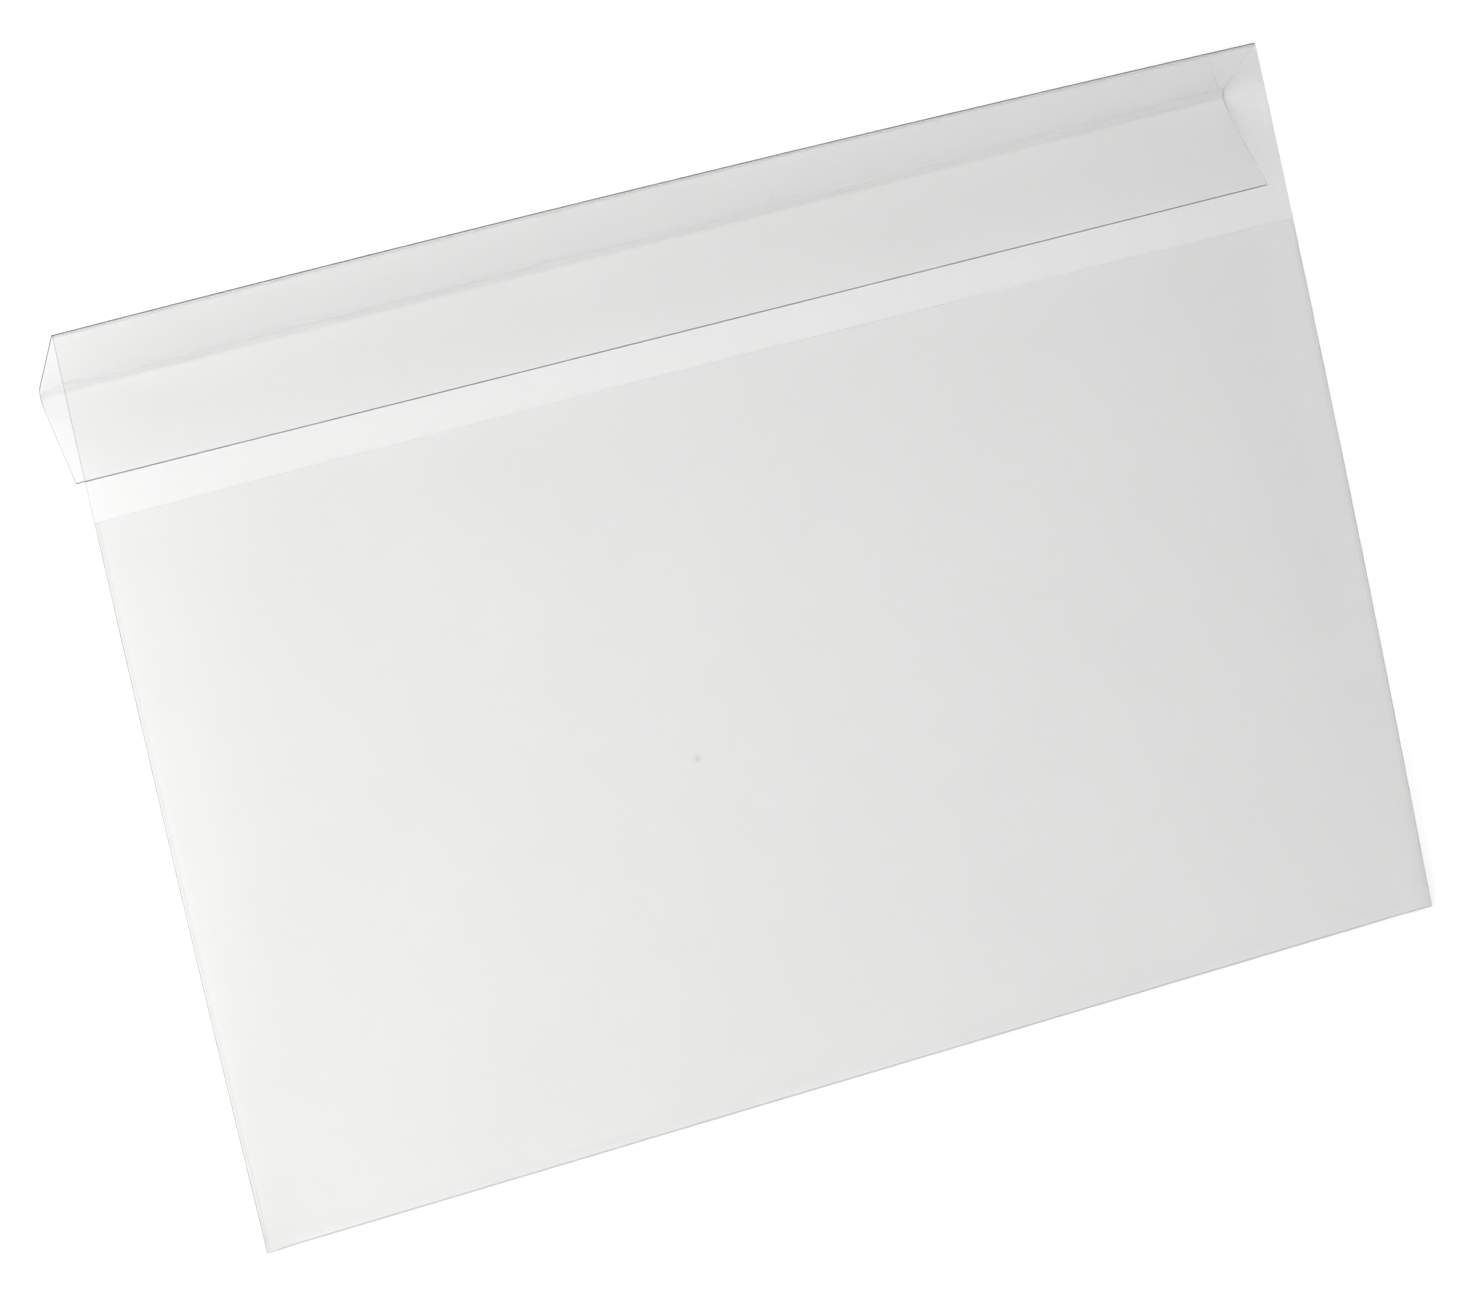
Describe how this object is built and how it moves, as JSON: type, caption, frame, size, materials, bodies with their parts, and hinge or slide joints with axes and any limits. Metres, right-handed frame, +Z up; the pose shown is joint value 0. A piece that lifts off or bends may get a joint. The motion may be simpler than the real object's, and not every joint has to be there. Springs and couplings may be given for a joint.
{
  "type": "pallet document pocket",
  "caption": "Clear landscape document pocket, welded at both sides, with a hooked flap behind its top fold that hangs on a pallet collar's rim.",
  "frame": {"origin": "on the table under the middle of the pocket, which lies with its front panel up on its bottom fold and on the flap's crease", "axes": "+X across the width to the right, +Y from the bottom fold to the top fold, +Z up from the table; the panel leans 6.5 degrees about X"},
  "size_m": [0.311, 0.2192, 0.0268],
  "materials": {
    "clear_film": "smooth clear film with a faint haze",
    "folded_film": "clear film, slightly milky where it is bent",
    "welded_film": "two sheets of clear film fused in a narrow milky band"
  },
  "bodies": {
    "pocket": {"front_panel": "clear_film", "back_panel": "clear_film", "bottom_fold": "folded_film", "left_side_weld": "welded_film", "right_side_weld": "welded_film"},
    "flap_upper": {"top_fold": "folded_film", "flap_upper_leaf": "clear_film"},
    "flap_lower": {"flap_crease": "folded_film", "flap_lower_leaf": "clear_film"}
  },
  "joints": [
    {"name": "top_fold_hinge", "type": "hinge", "parent": "pocket", "child": "flap_upper", "pos_m": [0, 0.10934, 0.02629], "axis": [1, 0, 0], "range_deg": [-8, 118], "stiffness_Nm_per_rad": 0.3, "deforming": ["top_fold"]},
    {"name": "crease_hinge", "type": "hinge", "parent": "flap_upper", "child": "flap_lower", "pos_m": [0, 0.09834, -0.00003], "axis": [1, 0, 0], "range_deg": [-10, 98], "stiffness_Nm_per_rad": 0.3, "deforming": ["flap_crease"]}
  ]
}
